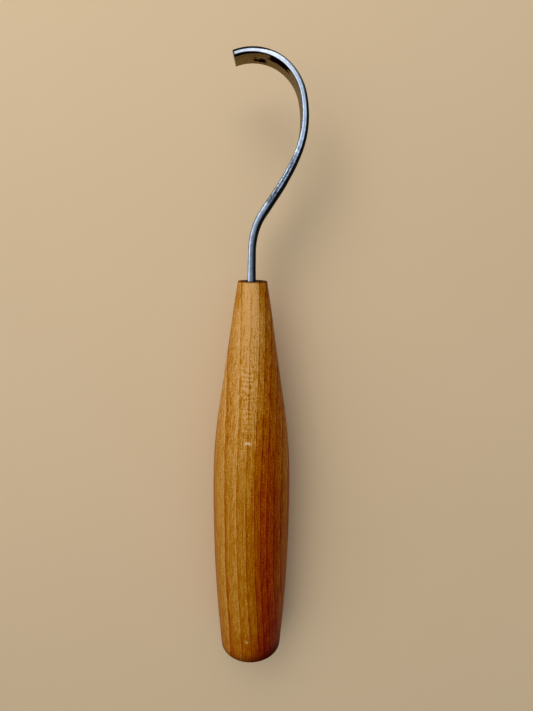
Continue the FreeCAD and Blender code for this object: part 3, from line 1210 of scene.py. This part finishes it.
def steel_material():
    """Forged tool steel: polished spine with painted highlights, dull inner face with a painted
    brown reflection, black scale outside partly painted as a dark reflection.
    """
    g = Graph("forged_steel")
    place = g.place_mm()
    flow = g.attribute("flow", "Vector")
    along, side, depth = g.parts(flow)[:]
    inner, bevel = g.attribute("inner"), g.attribute("bevel")
    noises = {name: g.noise(flow if follows else place, steps, detail, rough)
              for name, follows, steps, detail, rough in STEEL_NOISES}
    mottle = noises["mottle"]
    pits = g.window(g.cells(flow, PIT_STEPS), *PIT_EDGE, 1.0, 0.0)
    pits = g.times(pits, g.band(along, *PIT_BAND))

    spine = spine_colour(g, along, side, noises["speckle"], noises["grain"])
    bare = g.mix(inner, spine, inner_colour(g, depth, mottle))
    bare = g.mix(bevel, bare, BEVEL_COLOUR)
    bare = g.mix(g.times(pits, 0.7), bare, PIT_COLOUR)
    scale_and_dark_reflection = scale_and_dark_reflection_mask(g, flow, inner, bevel, mottle)
    colour = g.mix(scale_and_dark_reflection, bare, scale_and_dark_reflection_colour(g, depth, inner, mottle))

    outside = g.minus(1.0, inner)
    metal = g.minus(1.0, g.times(scale_and_dark_reflection, outside))
    shank = g.window(along, *ROUGH_SHANK)
    rough = g.add(g.times(noises["fine"], 0.14), 0.24)
    rough = g.blend(scale_and_dark_reflection, g.blend(shank, rough, 0.36), 0.5)
    normal = g.bump(steel_relief(g, noises, shank, scale_and_dark_reflection, pits), *STEEL_BUMP)
    side_face = g.times(g.window(depth, *SIDE_FACE_DEPTH), outside)
    matt = g.times(scale_and_dark_reflection, g.minus(1.0, g.times(side_face, 0.8)))
    tint = g.mix(matt, g.mix(inner, *BARE_TINTS), g.mix(inner, *SCALE_TINTS))
    return g.finish(g.surface(Base_Color=colour, Metallic=metal, Roughness=rough,
                              Normal=normal, Specular_IOR_Level=0.08, Specular_Tint=tint))


# ===== glue =====

GLUE_CLOUDS = (1.2, 1.2, 1.2)
GLUE_TONES = ((0.008, 0.005, 0.003, 1), (0.035, 0.018, 0.008, 1))
DUST_STEPS = (7, 7, 7)
DUST_EDGE = (0.62, 0.74)
DUST_COLOUR = (0.16, 0.09, 0.04, 1)
GLUE_BUMP = (0.0001, 0.5)


def adhesive_material():
    """Dark cured epoxy with trapped dust and a soft shine."""
    g = Graph("cured_epoxy")
    place = g.place_mm()
    cloud = g.noise(place, GLUE_CLOUDS, 3.0, 0.6)
    dust = g.window(g.noise(place, DUST_STEPS, 2.0, 0.5), *DUST_EDGE)
    colour = g.mix(g.times(dust, 0.4), g.mix(cloud, *GLUE_TONES), DUST_COLOUR)
    rough = g.blend(dust, g.add(g.times(cloud, 0.2), 0.18), 0.7)
    normal = g.bump(g.add(cloud, g.times(dust, 0.4)), *GLUE_BUMP)
    return g.finish(g.surface(Base_Color=colour, Roughness=rough, Normal=normal))


# ===== stage =====

FLOOR_SIZE = 6.0
FLOOR_TILT = -3.0
FLOOR_GAP = 0.05
FLOOR_CLOUDS = (0.01, 0.01, 0.01)
FLOOR_TONES = ((0.695, 0.5, 0.29, 1), (0.735, 0.535, 0.315, 1))
TOUCH_STEPS = 400
LIGHTS = (
    # name, place and aim in metres, width and height, power in watts, colour
    ("softbox", (-0.16, 0.54, 0.4), (0, 0.2, 0), (0.46, 0.34), 1.32, (1.0, 0.99, 0.97)),
    ("side_strip", (-0.26, 0.22, 0.5), (0, 0.12, 0), (0.26, 0.4), 0.26, (0.95, 0.97, 1.0)),
)
SKY_TOWARDS = Vector((-0.5, 0.5, 0.71)).normalized()
SKY_DIM = (0.17, 0.18, 0.2, 1)
SKY_BRIGHT = (0.78, 0.83, 0.91, 1)
SKY_FADE = (0.05, 0.95)
SENSOR_WIDTH = 36.0
FOCAL_LENGTH = 27.04
CAMERA_PLACE = (4.08, HANDLE_LENGTH + 13.69, 198.5)
CAMERA_TURN = (-11.897, -0.262, 0.615)


def floor_material():
    """Plain pale floor. Seen from below it lets the camera look up at the knife."""
    g = Graph("pale_floor")
    colour = g.mix(g.noise(g.place_mm(), FLOOR_CLOUDS, 3.0, 0.5), *FLOOR_TONES)
    seen = g.surface(Base_Color=colour, Roughness=0.8)
    clear = g.node("BsdfTransparent").outputs[0]
    from_below = g.node("NewGeometry").outputs["Backfacing"]
    return g.finish(g.node("MixShader", from_below, seen, clear).outputs[0])


def floor_touch():
    """The lowest place of the handle's side above a floor that falls away ahead."""
    side = natural_spline(HANDLE_SIDE)
    slope = math.tan(math.radians(FLOOR_TILT))
    start = HANDLE_SIDE[0][0]
    places = [mix(start, HANDLE_LENGTH, i / TOUCH_STEPS) for i in range(TOUCH_STEPS)]
    return min(((y, -side(y)) for y in places), key=lambda spot: spot[1] - slope * spot[0])


def make_floor():
    """A wide floor that meets the handle near its butt and falls away below the hook."""
    touch_y, touch_z = floor_touch()
    bpy.ops.mesh.primitive_grid_add(x_subdivisions=8, y_subdivisions=8, size=FLOOR_SIZE)
    floor = bpy.context.object
    floor.name = "floor"
    floor.location = (0, touch_y * MM, (touch_z - FLOOR_GAP) * MM)
    floor.rotation_euler = (math.radians(FLOOR_TILT), 0, 0)
    floor.data.materials.append(floor_material())


def make_light(name, place, aim, size, power, colour):
    """A rectangular area light at place, turned to aim."""
    lamp = bpy.data.lights.new(name, "AREA")
    lamp.shape = "RECTANGLE"
    lamp.size, lamp.size_y = size
    lamp.energy = power
    lamp.color = colour
    holder = show(name, lamp)
    holder.location = place
    holder.rotation_euler = (Vector(aim) - Vector(place)).to_track_quat("-Z", "Y").to_euler()


def make_sky():
    """A soft sky: brightest towards the upper left, dim low on the right."""
    g = Graph("room", bpy.data.worlds, "OutputWorld")
    facing = g.vector("DOT_PRODUCT", g.node("TexCoord").outputs["Generated"], SKY_TOWARDS)
    tint = g.mix(g.window(facing, *SKY_FADE), SKY_DIM, SKY_BRIGHT)
    bpy.context.scene.world = g.finish(g.node("Background", tint).outputs[0])


def make_lights():
    """A big softbox beyond the hook, a weak strip on the left, and a soft sky."""
    for light in LIGHTS:
        make_light(*light)
    make_sky()


def make_camera():
    """Looks down on the knife from above its neck, a little towards the butt."""
    lens = bpy.data.cameras.new("camera")
    lens.sensor_width = SENSOR_WIDTH
    lens.lens = FOCAL_LENGTH
    lens.clip_start = 0.01
    camera = show("camera", lens)
    camera.location = Vector(CAMERA_PLACE) * MM
    camera.rotation_euler = Euler([math.radians(angle) for angle in CAMERA_TURN])
    bpy.context.scene.camera = camera


# ===== build =====

def place(piece, node, slot, material):
    """The piece stands for a CAD node, takes its material and moves with the knife; slot is not
    used.
    """
    piece.data.materials.append(material)
    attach(piece, "root")
    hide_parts(node)


place(make_handle(), "handle", "handle_wood", wood_material())
place(make_blade(), "blade", "blade_steel", steel_material())
place(make_adhesive(), "tang_adhesive", "adhesive", adhesive_material())
make_floor()
make_lights()
make_camera()
bpy.context.scene.view_settings.view_transform = "Standard"
